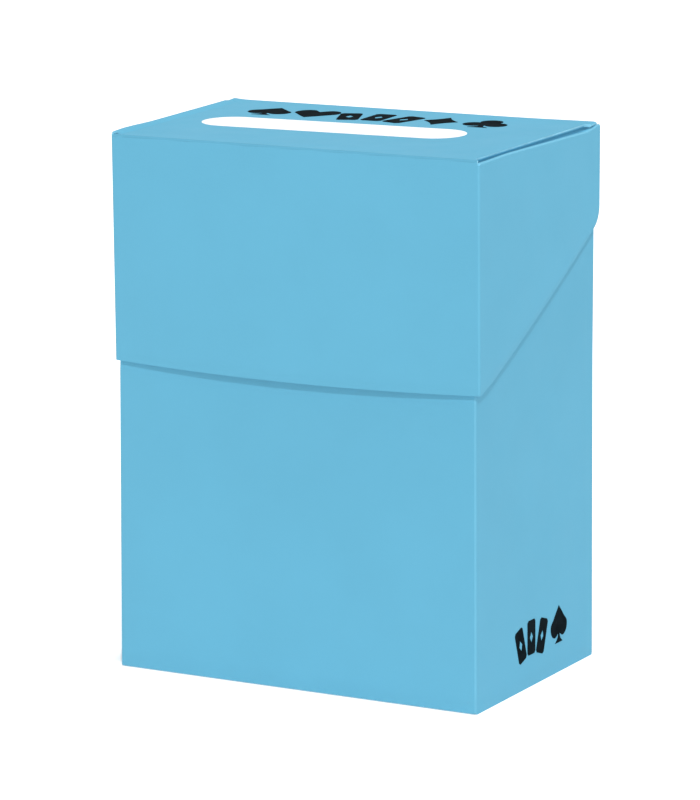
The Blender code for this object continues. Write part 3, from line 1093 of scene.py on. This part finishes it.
def build_printing(white, ink):
    """The white area for notes, the row of card suits behind it, and the small mark on the right wall."""
    outline = stadium_outline(LABEL_LENGTH, LABEL_WIDTH)
    place = on_top(LABEL_CENTRE.x + LABEL_SHIFT_X, LABEL_CENTRE.y + LABEL_SHIFT_Y)
    label = film_piece("note_area", [[outline]], 1.0, place, white)
    top_marks = []
    names = ("spade", "heart", "cards", "diamond", "club")
    drawings = (spade(), heart(), fanned_cards(), diamond(), club())
    along = Vector((math.cos(LABEL_TURN), math.sin(LABEL_TURN)))
    middle = Vector((TOP_MARK_CENTRE_X, TOP_MARK_CENTRE_Y))
    for name, parts, share in zip(names, drawings, TOP_MARK_PLACES):
        spot = middle + along * share * TOP_MARK_LENGTH
        place = on_top(spot.x, spot.y)
        top_marks.append(film_piece("top_mark_" + name, parts, TOP_MARK_HEIGHT, place, ink))
    side_marks = []
    pair = (("cards", fanned_cards(), SIDE_MARK_CARDS_SHIFT), ("spade", spade(), SIDE_MARK_SPADE_SHIFT))
    for name, parts, shift in pair:
        place = on_right_wall(SIDE_MARK_CENTRE_Y + shift, SIDE_MARK_CENTRE_Z)
        side_marks.append(film_piece("side_mark_" + name, parts, SIDE_MARK_HEIGHT, place, ink))
    return label, top_marks, side_marks


# ---------------------------------------------------------------- CAD nodes that stay


def soften(node, material):
    """Keeps a CAD node's shape and gives it rounded edges and a better material."""
    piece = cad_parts[node]
    piece.data.materials.clear()
    piece.data.materials.append(material)
    round_rims(piece, RIM_ROUNDING)


# ---------------------------------------------------------------- stage


def build_floor():
    made = bmesh.new()
    bmesh.ops.create_grid(made, x_segments=FLOOR_CELLS, y_segments=FLOOR_CELLS, size=FLOOR_HALF)
    data = bpy.data.meshes.new("floor")
    made.to_mesh(data)
    made.free()
    data.materials.append(floor_material())
    floor = bpy.data.objects.new("floor", data)
    floor.location.z = -FLOOR_DROP
    bpy.context.scene.collection.objects.link(floor)


def build_sky():
    """White all round the horizon, where the camera sees it, and softer overhead."""
    world = bpy.data.worlds.new("studio")
    world.use_nodes = True
    tree = world.node_tree
    direction = tree.nodes.new("ShaderNodeTexCoord").outputs["Generated"]
    height = tree.nodes.new("ShaderNodeSeparateXYZ")
    tree.links.new(direction, height.inputs[0])
    fade = tree.nodes.new("ShaderNodeMapRange")
    fade.interpolation_type = "SMOOTHSTEP"
    tree.links.new(height.outputs["Z"], fade.inputs["Value"])
    fade.inputs["From Min"].default_value = SKY_HORIZON_Z
    fade.inputs["From Max"].default_value = SKY_OVERHEAD_Z
    fade.inputs["To Min"].default_value = 1.0
    fade.inputs["To Max"].default_value = SKY_OVERHEAD
    tree.links.new(fade.outputs["Result"], tree.nodes["Background"].inputs["Strength"])
    tree.nodes["Background"].inputs["Color"].default_value = colour(1.0, 1.0, 1.0)
    bpy.context.scene.world = world


def add_sun(name, towards, strength):
    """A soft light that comes from this direction."""
    data = bpy.data.lights.new(name, "SUN")
    data.angle = SUN_SOFTNESS
    data.energy = strength
    light = bpy.data.objects.new(name, data)
    light.location = towards
    light.rotation_euler = Vector(towards).to_track_quat("Z", "Y").to_euler()
    bpy.context.scene.collection.objects.link(light)


def build_lights():
    build_sky()
    for name, towards, strength in SUNS:
        add_sun(name, towards, strength)


def build_camera():
    data = bpy.data.cameras.new("camera")
    data.sensor_fit = "HORIZONTAL"
    data.sensor_width = 36.0
    data.lens = CAMERA_LENS
    data.clip_start = 0.01
    data.clip_end = 20.0
    camera = bpy.data.objects.new("camera", data)
    camera.location = CAMERA_PLACE
    turn = CAMERA_VIEW.to_track_quat("-Z", "Y") @ Euler((0, 0, CAMERA_ROLL)).to_quaternion()
    camera.rotation_mode = "QUATERNION"
    camera.rotation_quaternion = turn
    bpy.context.scene.collection.objects.link(camera)
    bpy.context.scene.camera = camera


# ---------------------------------------------------------------- assembly


def main():
    build_camera()
    blue = sheet_material()
    edge = cut_edge_material()
    white = label_material()
    ink = ink_material()
    frosted = divider_material()

    body = build_body([blue, edge])
    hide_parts("front_panel", "back_panel", "left_side_panel", "right_side_panel", "side_seam_flap")
    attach(body, "box")

    lid = build_lid([blue, edge])
    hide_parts("lid_front_panel", "lid_top_panel", "lid_left_side_panel", "lid_right_side_panel",
                "lid_left_tab", "lid_right_tab")
    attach(lid, "lid")

    web = build_hinge_web([blue, edge])
    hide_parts("hinge_crease")
    for modifier in list(web.modifiers):
        bpy.context.view_layer.objects.active = web
        bpy.ops.object.modifier_apply(modifier=modifier.name)
    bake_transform(web)

    label, top_marks, side_marks = build_printing(white, ink)
    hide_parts("write_on_label")
    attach(label, "lid")
    for mark in top_marks:
        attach(mark, "lid")
    for mark in side_marks:
        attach(mark, "box")

    for node in ("bottom_panel", "bottom_inner_flap", "left_dust_flap", "right_dust_flap"):
        soften(node, blue)
    soften("deck_divider", frosted)

    build_floor()
    build_lights()
    bpy.context.scene.view_settings.view_transform = "Standard"


main()
